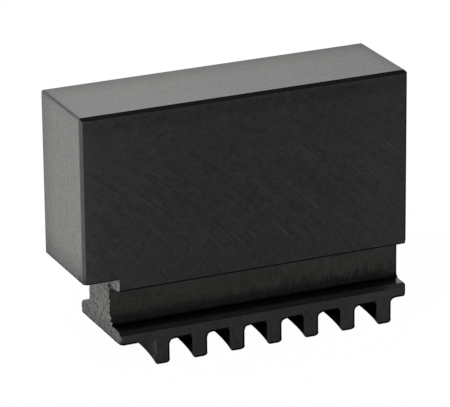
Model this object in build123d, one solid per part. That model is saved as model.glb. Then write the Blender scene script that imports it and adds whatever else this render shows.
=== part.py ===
from build123d import *
import math
import os

# Machinable soft jaw of a scroll chuck, cut from one piece of steel.
# All sizes are in millimetres. X runs outward from the middle of the chuck, Y across the jaw, Z up.
# The origin lies on the plane of the tooth tips, in the middle of the length and width.

# Gripping block
jaw_length = 68.5  # gripping end to outer end
jaw_width = 20.0
block_height = 35.9  # groove ceiling to top face
side_chamfer = 0.65  # at 45 degrees, round the edges of the two wide sides
top_break = 0.3  # at 45 degrees, on the two ends of the top face
lower_break = 0.35  # at 45 degrees, round the nose's underside and round grooves and rail at the outer end

# Nose that stands out over the foot at the gripping end
nose_overhang = 7.4
nose_relief = 2.5  # nose underside above the groove ceiling

# Guide grooves, one on each wide side
groove_height = 8.3
groove_depth = 4.25
groove_floor_fillet = 1.0
groove_ceiling_fillet = 0.4
groove_mouth_chamfer = 0.4  # upper edge of the mouth

# Rail below the grooves, which carries the teeth
rail_thickness = 2.7  # at the lands before and behind the teeth
rail_chamfer = 0.75  # lower edge of the groove's mouth

# Scroll teeth
tooth_pitch = 7.92  # lead of the scroll, as measured
tooth_height = 5.1  # over the lands
gap_shortfall = 0.35  # the gaps are cut this much less deep than the lands
tooth_thickness = 3.77  # at the crown of the arcs
tooth_tip_radius = 0.8
inner_root_break = 0.3  # at 45 degrees, along the foot of the hollow flank
outer_root_radius = 0.9  # along the foot of the full flank
inner_flank_radius = 65.0  # hollow flank, clears the largest turn of the scroll
outer_flank_radius = 40.0  # full flank, clears the smallest turn of the scroll
inner_land = 8.0  # foot's inner end to the crown of the first tooth's hollow flank
least_outer_land = 1.2  # last tooth's full flank to the outer end, at least
flank_lean = tooth_pitch / (2 * math.pi)  # a spiral's normals pass this far beside its centre

# Heights above the tooth tips
rail_bottom = tooth_height
groove_floor = rail_bottom + rail_thickness
groove_ceiling = groove_floor + groove_height
nose_underside = groove_ceiling + nose_relief
top = groove_ceiling + block_height

# Places along and across the jaw
half_width = jaw_width / 2
gripping_end = -jaw_length / 2
outer_end = jaw_length / 2
foot_end = gripping_end + nose_overhang
first_tooth = foot_end + inner_land
tooth_room = outer_end - least_outer_land - tooth_thickness - first_tooth
tooth_count = int(tooth_room // tooth_pitch) + 1
tool_overrun = 2.0  # a cutter's path runs this far past the work
touch = 0.001  # edges this close to a level lie on it


def blank():
    """Bar of the full section, with its wide sides chamfered and its top ends broken."""
    bar = Box(jaw_length, jaw_width, top - rail_bottom)
    bar = Pos(Z=(top + rail_bottom) / 2) * bar
    wide_sides = bar.faces().filter_by(Axis.Y)
    upright = wide_sides.edges().filter_by(Axis.Z)
    upper = wide_sides.edges().filter_by(Axis.X).group_by(Axis.Z)[-1]
    bar = chamfer(upright + upper, side_chamfer)
    top_ends = bar.faces().sort_by(Axis.Z)[-1].edges().filter_by(Axis.Y)
    return chamfer(top_ends, top_break)


def groove_section():
    """Section of one guide groove, with the chamfers of its mouth, on the YZ plane."""
    back = half_width - groove_depth
    outside = half_width + tool_overrun
    outline = Polyline(
        (back, groove_floor),
        (half_width - rail_chamfer, groove_floor),
        (half_width, groove_floor - rail_chamfer),
        (outside, groove_floor - rail_chamfer),
        (outside, groove_ceiling + groove_mouth_chamfer),
        (half_width, groove_ceiling + groove_mouth_chamfer),
        (half_width - groove_mouth_chamfer, groove_ceiling),
        (back, groove_ceiling),
        close=True,
    )
    section = make_face(outline)
    floor_corner = section.vertices().sort_by_distance((back, groove_floor))[0]
    section = fillet(floor_corner, groove_floor_fillet)
    ceiling_corner = section.vertices().sort_by_distance((back, groove_ceiling))[0]
    return fillet(ceiling_corner, groove_ceiling_fillet)


def guide_grooves():
    """Cutter paths of the two grooves, right through along the jaw."""
    run = jaw_length + 2 * tool_overrun
    right_side = extrude(Plane.YZ * groove_section(), run / 2, both=True)
    return right_side + mirror(right_side, Plane.XZ)


def nose_step():
    """Stock cut away below the nose, down through groove, neck and rail."""
    run = nose_overhang + tool_overrun
    drop = nose_underside - rail_bottom + tool_overrun
    cut = Box(run, jaw_width + 2 * tool_overrun, drop, align=(Align.MAX, Align.CENTER, Align.MAX))
    return Pos(X=foot_end, Z=nose_underside) * cut


def flank(crown, radius):
    """Arc of one tooth flank across the jaw, furthest outward at its crown."""
    def place(y):
        return crown - radius + math.sqrt(radius**2 - (y - flank_lean) ** 2)
    front = (place(-half_width), -half_width)
    back = (place(half_width), half_width)
    return ThreePointArc(front, (crown, flank_lean), back)


def scroll_tooth(crown):
    """One crescent tooth, hollow towards the chuck's middle, with rounded tip edges."""
    inner = flank(crown, inner_flank_radius)
    outer = flank(crown + tooth_thickness, outer_flank_radius)
    plan = make_face([inner, outer, Line(inner @ 0, outer @ 0), Line(inner @ 1, outer @ 1)])
    tooth = extrude(plan, tooth_height)
    tip_edges = tooth.edges().group_by(Axis.Z)[0].filter_by(GeomType.CIRCLE)
    return fillet(tip_edges, tooth_tip_radius)


def break_lower_edges(body):
    """Break the rim of the nose's underside, and the outer end's rim below the block."""
    nose_face = body.faces().filter_by(Axis.Z).sort_by_distance((gripping_end, 0, nose_underside))[0]
    nose_rim = nose_face.edges().sort_by(Axis.X)[:-1]
    flat = half_width - side_chamfer - touch
    end_rim = body.faces().sort_by(Axis.X)[-1].edges().filter_by_position(Axis.Y, -flat, flat)
    end_rim = end_rim.filter_by_position(Axis.Z, rail_bottom - touch, groove_ceiling + touch)
    return chamfer(nose_rim + end_rim, lower_break)


def gap_stock():
    """Stock left under the rail between the first and the last tooth, inside whose walls it ends."""
    into_tooth = tooth_thickness / 3
    run = (tooth_count - 1) * tooth_pitch
    stock = Box(run, jaw_width, gap_shortfall, align=(Align.MIN, Align.CENTER, Align.MAX))
    return Pos(X=first_tooth + into_tooth, Z=rail_bottom) * stock


def root_arcs(body, flank_radius):
    """Arcs along which the tooth flanks of one radius meet the gaps' floor or the lands."""
    arcs = body.edges().filter_by(GeomType.CIRCLE)
    arcs = arcs.filter_by_position(Axis.Z, rail_bottom - gap_shortfall - touch, rail_bottom + touch)
    return arcs.filter_by(lambda arc: abs(arc.radius - flank_radius) < touch)


def soft_jaw():
    """The finished jaw: blank, grooves, nose step, then the row of scroll teeth."""
    body = break_lower_edges(blank() - guide_grooves() - nose_step())
    teeth = [scroll_tooth(first_tooth + i * tooth_pitch) for i in range(tooth_count)]
    body += [gap_stock()] + teeth
    body = chamfer(root_arcs(body, inner_flank_radius), inner_root_break)
    return fillet(root_arcs(body, outer_flank_radius), outer_root_radius)


os.makedirs("parts", exist_ok=True)
jaw = soft_jaw()
jaw.label = "soft_jaw"
export_step(jaw, "parts/soft_jaw.step")
print("teeth:", tooth_count, "volume:", round(jaw.volume, 1), "solids:", len(jaw.solids()))
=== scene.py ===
import math

import bmesh
import bpy
from mathutils import Matrix, Vector, noise


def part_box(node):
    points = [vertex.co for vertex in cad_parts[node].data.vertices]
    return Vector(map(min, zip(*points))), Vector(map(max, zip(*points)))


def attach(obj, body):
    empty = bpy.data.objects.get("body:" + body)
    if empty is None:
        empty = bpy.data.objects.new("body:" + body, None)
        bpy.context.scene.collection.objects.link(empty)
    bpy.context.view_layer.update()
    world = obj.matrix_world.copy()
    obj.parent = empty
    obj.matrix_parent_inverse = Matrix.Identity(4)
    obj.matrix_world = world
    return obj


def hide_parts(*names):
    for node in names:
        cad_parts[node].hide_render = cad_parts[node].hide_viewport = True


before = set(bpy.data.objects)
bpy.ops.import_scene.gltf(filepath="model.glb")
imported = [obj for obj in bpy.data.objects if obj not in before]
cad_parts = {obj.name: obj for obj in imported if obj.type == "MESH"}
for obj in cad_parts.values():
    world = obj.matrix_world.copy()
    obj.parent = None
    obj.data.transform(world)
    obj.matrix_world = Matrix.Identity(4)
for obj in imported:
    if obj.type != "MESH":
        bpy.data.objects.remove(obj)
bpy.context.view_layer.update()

# Machinable soft jaw: one piece of steel, on a plain pale floor.
# Lengths named here are in millimetres. X runs outward from the chuck's middle, Y across, Z up.
MM = 0.001

# Heights and places that tell the jaw's faces apart
rail_bottom = 5.1
groove_floor = 7.8
groove_ceiling = 16.1
groove_depth = 4.25
side_chamfer = 0.65
rail_chamfer = 0.75
foot_end = -26.85  # sawn face, across the foot below the nose
inner_land = 8.0
first_tooth = foot_end + inner_land
level_room = 0.05  # a face this near to a level lies on it
weld = 0.0001  # points this near to each other are one

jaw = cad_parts["soft_jaw"]
low, high = (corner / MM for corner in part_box("soft_jaw"))
half_width = high.y
neck_side = half_width - groove_depth
side_rim = half_width - side_chamfer
rail_edge = groove_floor - rail_chamfer

# Breaks at 45 degrees on the two ends of the top face
gripping_break = 0.38
outer_break = 0.65
corner_wear = 0.4  # lower outer corners of the block
worn_height = 1.0  # their points lie within this height above the groove's ceiling

# Edges of rail and teeth, broken with a file
file_width = 0.42
file_depth = 0.14
file_stop = 1.0  # the dark edge ends this far before the outer end
corner_rounds = {-1: 1.1, 1: 0.5}  # lower corners of the sawn end, at the front and at the back
round_steps = 4

# Sawn face of the foot
saw_grid = 0.14  # spacing of the points that carry its roughness
saw_roughness = 0.07
saw_waves = 0.05
saw_bulge = 0.45  # the blade wandered out this far at the neck
saw_dip = 0.22  # and in this far at the rail's front corner
saw_tear = 0.4  # raggedness of its edges towards the front groove
torn_front = 0.4 - neck_side  # they are torn in front of this place, and between two heights
torn_low = rail_edge - 0.4
torn_high = groove_ceiling - 0.3

# Face mill that cut the two wide sides
mill_radius = 133.5
mill_height = -65.9  # its centre's path, below the tooth tips

# Angles of the mesh, in degrees
flat_angle = 0.02  # triangles that turn less than this are one flat face
sharp_angle = 32  # edges that turn more than this look sharp


def linear(level):
    """Linear value of a display level from 0 to 255."""
    share = level / 255
    if share <= 0.04045:
        return share / 12.92
    return ((share + 0.055) / 1.055) ** 2.4


def node(tree, kind, inputs=None, **settings):
    """One shader node with its settings, and its inputs linked or set."""
    new = tree.nodes.new(kind)
    for key, value in settings.items():
        setattr(new, key, value)
    for key, value in (inputs or {}).items():
        if isinstance(value, bpy.types.NodeSocket):
            tree.links.new(value, new.inputs[key])
        else:
            new.inputs[key].default_value = value
    return new


def result(tree, operation, *values):
    """Result of one step of arithmetic on numbers or sockets."""
    return node(tree, "ShaderNodeMath", dict(enumerate(values)), operation=operation).outputs[0]


def times(tree, pattern, *factors):
    """A pattern made weaker or stronger, by numbers or by other patterns."""
    for factor in factors:
        pattern = result(tree, "MULTIPLY", pattern, factor)
    return pattern


def fade(tree, value, start, stop):
    """Goes smoothly from 0 at start to 1 at stop."""
    inputs = {"Value": value, "From Min": start, "From Max": stop}
    return node(tree, "ShaderNodeMapRange", inputs, interpolation_type="SMOOTHSTEP").outputs[0]


def peaks(tree, pattern, threshold, strength):
    """Only what rises above the threshold, so that marks are sparse."""
    above = result(tree, "MAXIMUM", result(tree, "SUBTRACT", pattern, threshold), 0.0)
    return times(tree, above, strength)


def place_in_mm(tree):
    """The shaded point on the jaw, in millimetres."""
    here = node(tree, "ShaderNodeTexCoord").outputs["Object"]
    scaled = node(tree, "ShaderNodeVectorMath", {0: here, 3: 1 / MM}, operation="SCALE").outputs[0]
    return node(tree, "ShaderNodeSeparateXYZ", {0: scaled}).outputs


def noise_at(tree, x, y, z, detail=2.0, rough=0.5):
    """Noise from about -1 to 1, one cell to each unit of x, y and z."""
    where = node(tree, "ShaderNodeCombineXYZ", {0: x, 1: y, 2: z}).outputs[0]
    inputs = {"Vector": where, "Scale": 1.0, "Detail": detail, "Roughness": rough}
    cells = node(tree, "ShaderNodeTexNoise", inputs).outputs[0]
    return result(tree, "MULTIPLY_ADD", cells, 2.0, -1.0)


def stretched(tree, at, x_cell, y_cell, z_cell, detail=2.0, shift=0.0):
    """Noise with cells of the given size along each axis, in millimetres."""
    x = result(tree, "MULTIPLY_ADD", at[0], 1 / x_cell, shift)
    y = result(tree, "DIVIDE", at[1], y_cell)
    z = result(tree, "DIVIDE", at[2], z_cell)
    return noise_at(tree, x, y, z, detail)


def mark(tree, at, y, z, radius):
    """A round mark on a face across the jaw: 1 at its middle, 0 outside its radius."""
    across = result(tree, "SUBTRACT", at[1], y)
    up = result(tree, "SUBTRACT", at[2], z)
    squares = result(tree, "ADD", times(tree, across, across), times(tree, up, up))
    return fade(tree, squares, radius**2, 0.0)


def steel(name, roughness, edge=0.67, metal=1.0):
    """A material of bare metal, with its node tree and its shader."""
    material = bpy.data.materials.new(name)
    material.use_nodes = True
    tree = material.node_tree
    shader = tree.nodes["Principled BSDF"]
    shader.inputs["Metallic"].default_value = metal
    shader.inputs["Roughness"].default_value = roughness
    shader.inputs["Specular Tint"].default_value = (edge, edge, edge, 1.0)
    return material, tree, shader


def tone_curve(tree, value, tones):
    """Colour along a value: display levels at rising places, blended between them."""
    start, stop = tones[0][0], tones[-1][0]
    inputs = {"Value": value, "From Min": start, "From Max": stop}
    share = node(tree, "ShaderNodeMapRange", inputs).outputs[0]
    ramp = node(tree, "ShaderNodeValToRGB", {0: share})
    points = ramp.color_ramp.elements
    points.remove(points[1])
    points[0].position = 0.0
    for place, levels in tones:
        point = points[0] if place == start else points.new((place - start) / (stop - start))
        point.color = (*(linear(level) for level in levels), 1.0)
    return ramp.outputs[0]


def colour(tree, shader, tone, *changes, base=1.0):
    """Base colour: display levels or a tone curve, scaled by the base plus the sum of the changes."""
    total = base
    for change in changes:
        total = result(tree, "ADD", total, change)
    if not isinstance(tone, bpy.types.NodeSocket):
        tone = tuple(linear(level) for level in tone)
    total = result(tree, "MAXIMUM", total, 0.05)
    scaled = node(tree, "ShaderNodeVectorMath", {0: tone, 3: total}, operation="SCALE").outputs[0]
    tree.links.new(scaled, shader.inputs["Base Color"])


def relief(tree, shader, height, depth):
    """Fine relief of the given depth in millimetres."""
    bump = node(tree, "ShaderNodeBump", {"Height": height, "Distance": depth * MM, "Strength": 1.0})
    tree.links.new(bump.outputs[0], shader.inputs["Normal"])


def mill_reach(tree, at):
    """How far along the jaw a mill arc runs from its centre, at the height of the shaded point."""
    rise = result(tree, "SUBTRACT", at[2], mill_height)
    square = result(tree, "SUBTRACT", mill_radius**2, times(tree, rise, rise))
    return result(tree, "SQRT", result(tree, "MAXIMUM", square, 1.0))


def mill_arcs(tree, at, turn, cell, run, shift):
    """Marks along the arcs of a face mill. turn is 1 for its leading edge, -1 for its trailing edge."""
    phase = result(tree, "MULTIPLY_ADD", mill_reach(tree, at), -turn, at[0])
    across = result(tree, "MULTIPLY_ADD", phase, 1 / cell, shift)
    along = result(tree, "DIVIDE", at[2], run)
    side = result(tree, "DIVIDE", at[1], half_width)
    return noise_at(tree, across, along, side, detail=1.0, rough=0.6)


def scratch(tree, at, x, z, length, width):
    """One scratch on the front, along a mill arc: 1 along its middle, fading to its ends."""
    phase = result(tree, "SUBTRACT", at[0], mill_reach(tree, at))
    middle = x - math.sqrt(mill_radius**2 - (z - mill_height) ** 2)
    beside = result(tree, "ABSOLUTE", result(tree, "SUBTRACT", phase, middle))
    beyond = result(tree, "ABSOLUTE", result(tree, "SUBTRACT", at[2], z))
    near = times(tree, fade(tree, beside, width, 0.0), fade(tree, beyond, length / 2, 0.0))
    return times(tree, near, fade(tree, at[1], 0.0, -1.0))


def milled_side():
    """Wide sides of the block: grainy, with sparse bright arcs of a face mill; their dark tone is
    partly the milled finish and partly painted shade, as they face away from the light.
    """
    material, tree, shader = steel("milled_side", 0.42, edge=0.5)
    at = place_in_mm(tree)
    lead = mill_arcs(tree, at, 1, 0.28, 7.0, 3.0)
    trail = mill_arcs(tree, at, -1, 0.3, 3.5, 9.0)
    bands = mill_arcs(tree, at, 1, 1.3, 22.0, 5.0)
    middle = result(tree, "MULTIPLY_ADD", fade(tree, at[2], 49.0, 36.0), 0.7, 0.3)
    patches = fade(tree, stretched(tree, at, 8.0, 7.0, 7.0, shift=4.0), -0.15, 0.3)
    lead_marks = times(tree, peaks(tree, lead, 0.25, 3.2), patches, middle)
    corner = times(tree, fade(tree, at[0], 4.0, -24.0), fade(tree, at[2], 48.0, 22.0))
    trail_patches = fade(tree, stretched(tree, at, 5.0, 7.0, 4.0, shift=11.0), -0.2, 0.25)
    trail_marks = times(tree, peaks(tree, trail, 0.22, 2.4), corner, trail_patches)
    inner_half = fade(tree, at[0], 14.0, -14.0)
    grain = stretched(tree, at, 0.35, 0.35, 0.35, detail=1.0)
    mottle = stretched(tree, at, 1.5, 1.5, 1.2, detail=1.0)
    # x, z, length, width and brightness of each
    scratches = [
        (12.2, 29.2, 11.0, 0.16, 0.5),
        (14.3, 27.4, 2.4, 0.2, 1.0),
        (-25.0, 32.9, 6.0, 0.2, 0.35),
        (-19.3, 27.7, 5.0, 0.2, 0.35),
        (-17.6, 29.6, 5.0, 0.2, 0.3),
        (5.8, 24.0, 7.0, 0.2, 0.25),
    ]
    changes = [
        lead_marks,
        trail_marks,
        *(times(tree, scratch(tree, at, *place), bright) for *place, bright in scratches),
        times(tree, lead, middle, 0.2),
        times(tree, trail, inner_half, 0.2),
        times(tree, bands, middle, 0.2),
        times(tree, grain, 0.37),
        times(tree, mottle, 0.2),
        # Lighter towards the gripping end: painted light, falling from that side.
        times(tree, fade(tree, at[0], -10.0, -33.0), 0.14),
        times(tree, fade(tree, at[0], -29.5, -33.0), 0.14),
        times(tree, fade(tree, at[0], 18.0, 30.0), 0.08),
        times(tree, fade(tree, at[0], 6.0, 24.0), fade(tree, at[2], 46.0, 34.0), 0.05),
        times(tree, fade(tree, at[2], 47.5, 49.5), fade(tree, at[2], 51.2, 50.4), -0.14),
    ]
    colour(tree, shader, (42.8, 42.7, 42.5), *changes)
    relief(tree, shader, result(tree, "ADD", lead, trail), 0.004)
    return material


def ground_top():
    """Top face: light and finely grained; lighter along its front edge and darker towards its back, its
    outer end and both end edges, as painted light and shade.
    """
    material, tree, shader = steel("ground_top", 0.35)
    at = place_in_mm(tree)
    lines = stretched(tree, at, 2.5, 0.22, 1.0)
    grain = stretched(tree, at, 0.4, 0.5, 1.0, detail=1.0)
    mottle = stretched(tree, at, 3.0, 2.0, 1.0)
    # Across the top: a painted highlight along the front edge, and painted shade towards the back.
    tones = [(-9.4, (140, 140, 138)), (-8.0, (136, 136, 135)), (2.5, (136, 136, 134.5))]
    tones += [(6.0, (128.5, 128.5, 127)), (8.0, (121.5, 121.5, 120)), (9.4, (112, 112, 110))]
    changes = [
        # Painted light falling off towards the outer end, and painted shade along both end edges.
        times(tree, fade(tree, at[0], -22.0, 8.0), -0.07),
        times(tree, fade(tree, at[0], 8.0, 31.0), -0.08),
        times(tree, fade(tree, at[0], 30.0, 34.0), -0.2),
        times(tree, fade(tree, at[0], -32.8, -34.0), -0.2),
        times(tree, lines, 0.22),
        times(tree, grain, 0.42),
        times(tree, mottle, 0.06),
    ]
    colour(tree, shader, tone_curve(tree, at[1], tones), *changes, base=1.06)
    relief(tree, shader, lines, 0.002)
    return material


def milled_end():
    """Gripping end and outer end: light and grainy; lighter at the front edge, darker towards the back
    edge, the bottom and the top edge, as painted light and shade.
    """
    material, tree, shader = steel("milled_end", 0.38)
    at = place_in_mm(tree)
    lines = stretched(tree, at, 1.0, 0.3, 2.5)
    grain = stretched(tree, at, 0.6, 0.6, 0.6, detail=1.0)
    mottle = stretched(tree, at, 2.0, 1.6, 3.0)
    # Across the end: a painted highlight at the front edge and painted shade towards the back.
    tones = [(-9.4, (146, 146, 144)), (-8.8, (138, 138, 136)), (3.0, (137, 136.5, 134.5))]
    tones += [(6.0, (131.5, 131.5, 130)), (8.0, (126, 125, 123)), (9.4, (120, 119, 117))]
    changes = [
        # Darker towards the bottom, at the lower front corner and along the top edge: painted shade.
        times(tree, fade(tree, at[2], 25.0, 19.5), -0.34),
        times(tree, fade(tree, at[2], 20.4, 19.3), -0.07),
        times(tree, fade(tree, at[2], 19.5, 19.2), -0.2),
        times(tree, mark(tree, at, -8.7, 19.3, 1.7), -0.3),
        times(tree, fade(tree, at[2], 50.5, 52.0), -0.12),
        times(tree, fade(tree, at[2], 24.0, 38.0), 0.04),
        times(tree, lines, 0.16),
        times(tree, grain, 0.36),
        times(tree, mottle, 0.14),
    ]
    colour(tree, shader, tone_curve(tree, at[1], tones), *changes)
    relief(tree, shader, lines, 0.002)
    return material


def sawn_end():
    """Inner end of the foot: rough and matt, as the saw left it."""
    material, tree, shader = steel("sawn_end", 0.6)
    at = place_in_mm(tree)
    grit = stretched(tree, at, 1.0, 1.1, 0.75)
    fine = stretched(tree, at, 0.5, 0.5, 0.3, detail=1.0)
    tones = [(5.0, (104, 103, 101)), (6.8, (108.5, 107.5, 105.5)), (8.6, (119, 118, 116))]
    tones += [(16.0, (122.5, 121.5, 119.5)), (18.6, (131.5, 130.5, 128.5))]
    # y, z, radius and brightness of each
    # The two dark marks at the height of the groove's ceiling are painted shade of a torn notch.
    marks = [
        (-6.1, 16.4, 0.75, -0.8),
        (-5.5, 15.9, 0.5, -0.7),
        (-5.9, 17.3, 0.5, 0.5),
        (-5.75, 8.2, 0.27, 1.1),
        (-6.1, 7.65, 0.35, -0.9),
        (-8.5, 7.6, 0.5, -0.9),
        (8.5, 7.5, 0.35, -0.4),
        (7.8, 7.5, 0.35, -0.35),
        (7.1, 7.4, 0.35, -0.35),
        (8.3, 7.85, 0.3, 0.2),
    ]
    changes = [
        grit,
        times(tree, fine, 0.5),
        # Darker along the bottom and the back edge: painted shade.
        times(tree, fade(tree, at[2], 5.5, 5.2), -0.75),
        times(tree, fade(tree, at[1], 9.5, 9.85), -0.6),
        *(times(tree, mark(tree, at, *place), bright) for *place, bright in marks),
    ]
    colour(tree, shader, tone_curve(tree, at[2], tones), *changes)
    relief(tree, shader, grit, 0.04)
    return material


def groove_wall():
    """Neck, its root and the groove's ceiling: slightly warm and streaked; dark at the root and along
    the outer edge, as painted shade.
    """
    material, tree, shader = steel("groove_wall", 0.35, edge=0.5)
    at = place_in_mm(tree)
    outward = fade(tree, at[0], -16.0, 12.0)
    lines = stretched(tree, at, 0.55, 1.0, 3.0)
    lower = result(tree, "MULTIPLY_ADD", fade(tree, at[2], 12.5, 10.5), 0.6, 0.4)
    streaks = times(tree, lines, result(tree, "MULTIPLY_ADD", outward, 0.45, 0.15), lower)
    patches = stretched(tree, at, 2.5, 1.0, 3.0)
    patches = times(tree, patches, result(tree, "MULTIPLY_ADD", outward, 0.25, 0.12))
    rows = stretched(tree, at, 5.0, 1.0, 0.4, detail=1.0)
    rows = times(tree, rows, result(tree, "MULTIPLY_ADD", outward, -0.2, 0.28))
    # A ragged edge for the painted shade at the root.
    ragged_shade_edge = stretched(tree, at, 0.9, 1.0, 9.0, shift=20.0)
    rise = times(tree, fade(tree, at[2], 8.6, 10.2), result(tree, "MULTIPLY_ADD", outward, 1.9, 0.3))
    height = result(tree, "MULTIPLY_ADD", ragged_shade_edge, rise, at[2])
    # Tones by height: painted shade at the root and in its corner, where the neck mirrors the dark bed.
    tones = [(7.8, (13, 13, 17)), (8.0, (11, 11, 15)), (8.3, (17, 17, 18)), (8.6, (25, 25, 25))]
    tones += [(9.0, (42, 41, 40)), (9.4, (36.5, 35.5, 34.5)), (9.8, (39, 38, 36))]
    tones += [(10.4, (43, 42, 40)), (11.2, (45.5, 44.5, 43))]
    grain = stretched(tree, at, 0.4, 0.4, 0.5, detail=1.0)
    changes = [
        times(tree, fade(tree, at[0], -8.0, -20.0), -0.06),
        times(tree, grain, 0.32),
        streaks,
        patches,
        rows,
        times(tree, fade(tree, at[0], 18.0, 29.0), fade(tree, at[0], 33.6, 31.5), 0.05),
        # Dark along the neck's outer edge: painted shade.
        times(tree, fade(tree, at[0], 33.3, 34.0), -0.5),
    ]
    colour(tree, shader, tone_curve(tree, height, tones), *changes)
    relief(tree, shader, lines, 0.003)
    return material


def groove_bed():
    """Upper face of the rail: smooth and glossy, so it mirrors the dark neck."""
    material, tree, shader = steel("groove_bed", 0.16, metal=0.985)
    at = place_in_mm(tree)
    lines = stretched(tree, at, 6.0, 0.3, 1.0)
    spots = stretched(tree, at, 0.5, 0.4, 1.0)
    tones = [(-9.25, (94, 94, 94)), (-9.05, (108, 108, 109)), (-8.7, (92, 92, 95))]
    tones += [(-8.4, (76, 76, 82)), (-8.0, (62, 62, 74)), (-6.4, (110, 111, 140))]
    tones += [(6.4, (100, 100, 99)), (9.3, (106, 106, 104))]
    changes = [times(tree, lines, 0.3), times(tree, spots, 0.7)]
    plain = (linear(104), linear(104), linear(103), 1.0)
    # Towards the outer end the bed takes a plain tone, lighter near its front edge: painted light,
    # where it comes out of the block's shadow.
    outer = times(tree, fade(tree, at[0], 24.0, 33.0), 0.9)
    inputs = {0: outer, 6: tone_curve(tree, at[1], tones), 7: plain}
    tone = node(tree, "ShaderNodeMix", inputs, data_type="RGBA").outputs[2]
    colour(tree, shader, tone, *changes)
    relief(tree, shader, lines, 0.002)
    return material


def rail_side():
    """Sides of the rail and of the teeth: faintly brown, with upright streaks; their dark tone is
    partly the finish and partly painted shade, as they face away from the light.
    """
    material, tree, shader = steel("rail_side", 0.42, edge=0.5)
    at = place_in_mm(tree)
    lines = stretched(tree, at, 0.35, 1.0, 3.0)
    grain = stretched(tree, at, 0.35, 0.35, 0.4, detail=1.0)
    mottle = stretched(tree, at, 4.0, 4.0, 4.0)
    tones = [(-0.5, (47.5, 46.5, 47)), (0.0, (47, 46, 46)), (0.4, (47, 45.5, 44.5))]
    changes = [
        times(tree, lines, 0.38),
        times(tree, grain, 0.38),
        times(tree, mottle, 0.25),
        times(tree, fade(tree, at[0], -25.4, -26.6), 0.3),
        times(tree, fade(tree, at[0], 5.0, 25.0), 0.07),
    ]
    colour(tree, shader, tone_curve(tree, mottle, tones), *changes)
    relief(tree, shader, lines, 0.003)
    return material


def tooth_flank():
    """Full flanks, roots and tips of the teeth and the rail's underside: cut steel, dark with painted
    shade, as they face down and away from the light.
    """
    material, tree, shader = steel("tooth_flank", 0.4, edge=0.5)
    at = place_in_mm(tree)
    lines = stretched(tree, at, 1.0, 4.0, 0.3)
    colour(tree, shader, (36, 35, 35), times(tree, lines, 0.4))
    relief(tree, shader, lines, 0.003)
    return material


def hollow_flank():
    """Hollow flanks in the shade of the tooth before them: dark, with light speckle low down."""
    material, tree, shader = steel("hollow_flank", 0.4, edge=0.5)
    at = place_in_mm(tree)
    lines = stretched(tree, at, 1.0, 4.0, 0.3)
    speckle = stretched(tree, at, 0.6, 0.6, 0.35, detail=1.0)
    lower = fade(tree, at[2], 3.6, 1.8)
    spots = times(tree, peaks(tree, speckle, 0.0, 16.0), lower)
    colour(tree, shader, (14, 13.5, 13.5), times(tree, lines, 0.3), spots)
    relief(tree, shader, lines, 0.003)
    return material


def first_flank():
    """Hollow flank of the first tooth, which takes the light from the gripping end's side."""
    material, tree, shader = steel("first_flank", 0.42, edge=0.5)
    at = place_in_mm(tree)
    lines = stretched(tree, at, 1.0, 0.4, 3.0)
    grain = stretched(tree, at, 0.4, 0.4, 0.4, detail=1.0)
    colour(tree, shader, (88, 86, 86), times(tree, lines, 0.3), times(tree, grain, 0.3))
    relief(tree, shader, lines, 0.003)
    return material


def painted_shade_break():
    """Chamfers along the wide sides, and the breaks at the outer end: dark with painted shade, as they
    face away from the light.
    """
    material, tree, shader = steel("painted_shade_break", 0.4, edge=0.46)
    at = place_in_mm(tree)
    mottle = stretched(tree, at, 1.0, 1.0, 1.0)
    # Lighter on the rail's chamfer towards the outer end: painted light, where it comes out of the
    # block's shadow.
    lit_rail_chamfer = times(tree, fade(tree, at[0], 28.0, 31.5), fade(tree, at[2], 17.0, 16.6))
    lit_rail_chamfer = times(tree, lit_rail_chamfer, fade(tree, at[2], 6.7, 7.1))
    # Darker at the rail's very end: painted shade.
    rail_end = times(tree, fade(tree, at[0], 33.7, 33.9), fade(tree, at[2], 7.0, 6.6))
    changes = [times(tree, mottle, 0.4), times(tree, lit_rail_chamfer, 1.4), times(tree, rail_end, -0.5)]
    colour(tree, shader, (23, 23, 23), *changes)
    return material


def filed_edge():
    """Filed edges along the outlines of rail and teeth: dark, with painted light on them beside the
    first flank.
    """
    material, tree, shader = steel("filed_edge", 0.4, edge=0.46)
    at = place_in_mm(tree)
    mottle = stretched(tree, at, 0.8, 0.8, 0.8)
    # Lighter beside the first flank and on the first tooth's edge: painted light from the gripping
    # end's side.
    beside = times(tree, fade(tree, at[0], -23.9, -23.1), fade(tree, at[0], -18.7, -19.2))
    tooth_edge = times(tree, fade(tree, at[0], -20.3, -19.9), fade(tree, at[0], -18.9, -19.3))
    upper = times(tree, fade(tree, at[2], 1.6, 2.8), fade(tree, at[2], 5.3, 4.8))
    lit = times(tree, tooth_edge, upper)
    changes = [mottle, times(tree, beside, 9.0), times(tree, lit, 9.0)]
    colour(tree, shader, (9, 8.5, 8), *changes)
    return material


def painted_light_break():
    """Chamfers and breaks round the gripping end: lighter than those at the outer end, as painted light
    where they face the light.
    """
    material, tree, shader = steel("painted_light_break", 0.4)
    at = place_in_mm(tree)
    mottle = stretched(tree, at, 1.0, 1.0, 1.5)
    outward = result(tree, "ABSOLUTE", at[1])
    # Across the chamfer: a painted highlight along its edge by the end face, falling to painted shade
    # by the wide side.
    tones = [(side_rim - 0.05, (110, 110, 109)), (side_rim + 0.02, (122, 122, 121))]
    tones += [(side_rim + 0.12, (96, 96, 95)), (side_rim + 0.25, (78, 78, 77))]
    tones += [(side_rim + 0.4, (87, 87, 86)), (side_rim + 0.5, (86, 86, 85))]
    tones += [(half_width, (69, 69, 68))]
    changes = [
        times(tree, mottle, 0.25),
        # Darker towards the bottom and along the top edge: painted shade.
        times(tree, fade(tree, at[2], 22.0, 18.6), -0.5),
        times(tree, fade(tree, at[2], 51.6, 51.95), -0.35),
    ]
    colour(tree, shader, tone_curve(tree, outward, tones), *changes)
    return material


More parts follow.
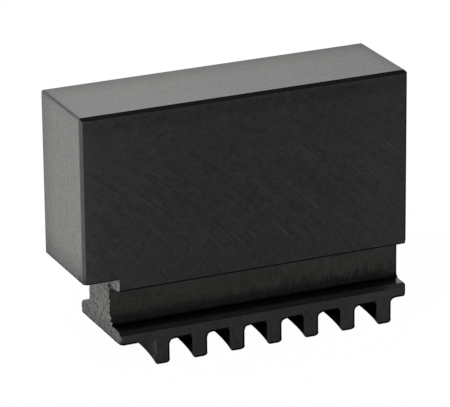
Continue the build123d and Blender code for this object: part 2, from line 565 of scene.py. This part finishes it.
FINISHES = {
    "milled_side": milled_side,
    "ground_top": ground_top,
    "milled_end": milled_end,
    "sawn_end": sawn_end,
    "groove_wall": groove_wall,
    "groove_bed": groove_bed,
    "rail_side": rail_side,
    "tooth_flank": tooth_flank,
    "hollow_flank": hollow_flank,
    "first_flank": first_flank,
    "painted_shade_break": painted_shade_break,
    "filed_edge": filed_edge,
    "painted_light_break": painted_light_break,
}
FINISH_NUMBER = {name: number for number, name in enumerate(FINISHES)}


def finish_of(face):
    """Name of the finish of one face of the jaw, from its place and the way it faces."""
    normal = face.normal
    middle = face.calc_center_median() / MM
    across, upward = abs(normal.y), normal.z
    if across > 0.95 and abs(middle.y) > half_width - level_room:
        return "milled_side" if middle.z > groove_ceiling else "rail_side"
    if upward > 0.95 and middle.z > high.z - level_room:
        return "ground_top"
    if abs(normal.x) > 0.95 and min(middle.x - low.x, high.x - middle.x) < level_room:
        return "milled_end"
    if normal.x < -0.95 and abs(middle.x - foot_end) < level_room:
        return "sawn_end"
    if middle.z < rail_bottom + level_room:
        if normal.x > -0.5:
            return "tooth_flank"
        return "first_flank" if middle.x < first_tooth + level_room else "hollow_flank"
    if abs(middle.y) < half_width - level_room and groove_floor - level_room < middle.z:
        if upward > 0.99 and middle.z < groove_floor + level_room:
            return "groove_bed"
        if middle.z < groove_ceiling + level_room:
            return "groove_wall"
    # Breaks that face the gripping end get painted light, the others painted shade.
    if normal.x < -0.5:
        return "painted_light_break"
    return "painted_shade_break"


def whole_faces(source):
    """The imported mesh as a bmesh, with the triangles of each flat face joined again."""
    shape = bmesh.new()
    mesh = bpy.data.meshes.new("plain")
    points = [v.co for v in source.vertices]
    faces = [list(p.vertices) for p in source.polygons]
    mesh.from_pydata(points, [], faces)
    shape.from_mesh(mesh)
    bpy.data.meshes.remove(mesh)
    bmesh.ops.remove_doubles(shape, verts=shape.verts, dist=weld * MM)
    bmesh.ops.dissolve_limit(
        shape,
        angle_limit=math.radians(flat_angle),
        use_dissolve_boundaries=False,
        verts=shape.verts,
        edges=shape.edges,
    )
    shape.normal_update()
    return shape


def break_top_end(shape, end, width):
    """Cuts the break of the given width along one end of the top. end is -1 or 1."""
    edge = Vector((high.x if end > 0 else low.x, 0, high.z))
    inward = Vector((-end * width, 0, 0))
    everything = shape.verts[:] + shape.edges[:] + shape.faces[:]
    done = bmesh.ops.bisect_plane(
        shape,
        geom=everything,
        dist=weld * MM,
        plane_co=(edge + inward) * MM,
        plane_no=(end, 0, 1),
        clear_outer=True,
    )
    rim = [g for g in done["geom_cut"] if isinstance(g, bmesh.types.BMEdge)]
    bmesh.ops.contextual_create(shape, geom=rim)
    shape.normal_update()


def wear_lower_corners(shape):
    """Lifts the lower outer corners of the block's wide sides, which are worn round."""
    for point in shape.verts:
        x, y, z = point.co / MM
        outermost = abs(abs(y) - side_rim) < level_room and high.x - x < level_room
        if outermost and groove_ceiling < z < groove_ceiling + worn_height:
            point.co.z += corner_wear * MM


def round_corners(shape):
    """Rounds the two lower corners of the sawn end."""
    for side, width in corner_rounds.items():
        corners = []
        for point in shape.verts:
            x, y, z = point.co / MM
            lowest = abs(x - foot_end) < level_room and abs(z - rail_bottom) < level_room
            if lowest and y * side > half_width - level_room:
                corners.append(point)
        bmesh.ops.bevel(
            shape,
            geom=corners,
            offset=width * MM,
            offset_type="OFFSET",
            segments=round_steps,
            profile=0.5,
            affect="VERTICES",
            clamp_overlap=True,
            material=FINISH_NUMBER["tooth_flank"],
        )


def break_outlines(shape):
    """Files the sharp edge off the outlines of rail and teeth on both wide sides."""
    side = FINISH_NUMBER["rail_side"]
    sides = [f for f in shape.faces if f.material_index == side]
    inset = bmesh.ops.inset_region(
        shape, faces=sides, use_boundary=True, use_even_offset=True, thickness=file_width * MM
    )
    ring = inset["faces"]
    kept = set(sides) | set(ring)
    hollow = FINISH_NUMBER["hollow_flank"]
    for face in ring:
        middle = face.calc_center_median() / MM
        beside = {f.material_index for e in face.edges for f in e.link_faces}
        along = foot_end + file_width < middle.x < high.x - file_stop
        if along and middle.z < rail_edge - file_width and hollow not in beside:
            face.material_index = FINISH_NUMBER["filed_edge"]
    for point in {v for f in ring for v in f.verts}:
        if point.co.z / MM < rail_edge - level_room and not kept.issuperset(point.link_faces):
            point.co.y -= math.copysign(file_depth * MM, point.co.y)


def cut_grid(shape, faces, spacing):
    """Cuts flat faces across the jaw into a grid, and returns the small faces."""
    points = [v.co / MM for f in faces for v in f.verts]
    for axis in (1, 2):
        start = min(p[axis] for p in points)
        stop = max(p[axis] for p in points)
        for i in range(1, math.ceil((stop - start) / spacing)):
            place = Vector((0, 0, 0))
            place[axis] = (start + i * spacing) * MM
            direction = Vector((0, 0, 0))
            direction[axis] = 1
            around = set(faces)
            for f in faces:
                around.update(f.verts, f.edges)
            done = bmesh.ops.bisect_plane(
                shape, geom=list(around), dist=weld * MM, plane_co=place, plane_no=direction
            )
            faces = [g for g in done["geom"] if isinstance(g, bmesh.types.BMFace)]
    return faces


def smooth_step(value, start, stop):
    """Goes smoothly from 0 at start to 1 at stop."""
    share = min(max((value - start) / (stop - start), 0.0), 1.0)
    return share * share * (3 - 2 * share)


def saw_depth(y, z):
    """How far the sawn face lies from its plane at one point: the blade's wander, waves and grit."""
    neck = smooth_step(y, -1.0, -5.0) * smooth_step(y, -9.6, -6.5)
    wander = -saw_bulge * neck * smooth_step(z, 7.0, 10.0)
    corner = smooth_step(y, -8.0, -9.8) * smooth_step(z, 7.6, 6.4)
    wander += saw_dip * corner
    waves = noise.noise(Vector((0.3, y / 6.0, z / 4.0)))
    grit = noise.fractal(Vector((7.0, y / 0.9, z / 0.6)), 0.7, 2.0, 4)
    return wander + saw_waves * waves + saw_roughness * grit


def roughen_saw_cut(shape):
    """Gives the sawn face its relief. Its outline moves with it, so the edges turn ragged."""
    faces = [f for f in shape.faces if f.material_index == FINISH_NUMBER["sawn_end"]]
    faces = cut_grid(shape, faces, saw_grid)
    sawn = set(faces)
    for point in {v for f in faces for v in f.verts}:
        y, z = point.co.y / MM, point.co.z / MM
        depth = saw_depth(y, z)
        at_groove = y < torn_front and torn_low < z < torn_high
        if at_groove and not sawn.issuperset(point.link_faces):
            depth += saw_tear * noise.noise(Vector((3.0, y / 0.7, z / 0.7)))
        point.co.x += depth * MM


def build_jaw():
    """The jaw with its finishes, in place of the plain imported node."""
    shape = whole_faces(jaw.data)
    break_top_end(shape, -1, gripping_break)
    break_top_end(shape, 1, outer_break)
    wear_lower_corners(shape)
    for face in shape.faces:
        face.material_index = FINISH_NUMBER[finish_of(face)]
    round_corners(shape)
    break_outlines(shape)
    roughen_saw_cut(shape)
    for face in shape.faces:
        face.smooth = True
    mesh = bpy.data.meshes.new("jaw_body")
    shape.to_mesh(mesh)
    shape.free()
    mesh.set_sharp_from_angle(angle=math.radians(sharp_angle))
    for make in FINISHES.values():
        mesh.materials.append(make())
    body = bpy.data.objects.new("jaw_body", mesh)
    bpy.context.scene.collection.objects.link(body)
    even = body.modifiers.new("flat_faces_stay_flat", "WEIGHTED_NORMAL")
    even.keep_sharp = True
    even.weight = 100
    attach(body, "root")
    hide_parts("soft_jaw")


def build_floor():
    """Plain pale floor. To the camera it is almost white by itself, so the shadow on it stays faint."""
    mesh = bpy.data.meshes.new("floor")
    reach = 4.0  # metres
    corners = [(-reach, -reach, 0), (reach, -reach, 0), (reach, reach, 0), (-reach, reach, 0)]
    mesh.from_pydata(corners, [], [(0, 1, 2, 3)])
    floor = bpy.data.objects.new("floor", mesh)
    bpy.context.scene.collection.objects.link(floor)
    material = bpy.data.materials.new("floor")
    material.use_nodes = True
    tree = material.node_tree
    tree.nodes.clear()
    matt = node(tree, "ShaderNodeBsdfDiffuse", {"Color": (0.95, 0.95, 0.95, 1)})
    glow = node(tree, "ShaderNodeEmission", {"Color": (1, 1, 1, 1), "Strength": 1.0})
    seen = node(tree, "ShaderNodeLightPath").outputs["Is Camera Ray"]
    share = times(tree, seen, 0.98)
    both = node(tree, "ShaderNodeMixShader", {0: share, 1: matt.outputs[0], 2: glow.outputs[0]})
    node(tree, "ShaderNodeOutputMaterial", {0: both.outputs[0]})
    mesh.materials.append(material)


def light_world():
    """White surroundings for what is seen and mirrored, and a softer even light for the rest."""
    world = bpy.data.worlds.new("studio")
    bpy.context.scene.world = world
    world.use_nodes = True
    tree = world.node_tree
    tree.nodes.clear()
    path = node(tree, "ShaderNodeLightPath")
    seen = result(tree, "MAXIMUM", path.outputs["Is Camera Ray"], path.outputs["Is Glossy Ray"])
    seen = result(tree, "MAXIMUM", seen, path.outputs["Is Transmission Ray"])
    strength = result(tree, "MULTIPLY_ADD", seen, 0.4, 0.6)
    sky = node(tree, "ShaderNodeBackground", {"Color": (1, 1, 1, 1), "Strength": strength})
    node(tree, "ShaderNodeOutputWorld", {0: sky.outputs[0]})


def soft_lamp(name, place, aim, size, power):
    """One square soft lamp, in metres and watts."""
    data = bpy.data.lights.new(name, "AREA")
    data.size = size
    data.energy = power
    lamp = bpy.data.objects.new(name, data)
    lamp.location = place
    lamp.rotation_euler = (Vector(aim) - Vector(place)).to_track_quat("-Z", "Y").to_euler()
    bpy.context.scene.collection.objects.link(lamp)


def place_camera():
    """Camera at the photograph's view: seen from the gripping end's side, a little from above."""
    azimuth = math.radians(23.881)
    elevation = math.radians(20.126)
    roll = math.radians(0.5965)
    distance = 696.95 * MM
    aim = Vector((-0.219, 0.328, 26.575)) * MM
    lens = 286.86
    level_share = math.cos(elevation)
    forward = Vector(
        (level_share * math.sin(azimuth), level_share * math.cos(azimuth), -math.sin(elevation))
    )
    level = Vector((math.cos(azimuth), -math.sin(azimuth), 0))
    down = forward.cross(level)
    right = math.cos(roll) * level + math.sin(roll) * down
    down = math.cos(roll) * down - math.sin(roll) * level
    data = bpy.data.cameras.new("camera")
    data.lens = lens
    data.sensor_width = 36.0
    data.clip_start = 0.01
    camera = bpy.data.objects.new("camera", data)
    turn = Matrix((right, -down, -forward)).transposed()
    camera.matrix_world = Matrix.Translation(aim - distance * forward) @ turn.to_4x4()
    bpy.context.scene.collection.objects.link(camera)
    bpy.context.scene.camera = camera


build_jaw()
build_floor()
light_world()
soft_lamp("key", place=(-0.6, -0.5, 0.9), aim=(0, 0, 0.03), size=0.8, power=9.0)
place_camera()
bpy.context.scene.view_settings.view_transform = "Standard"
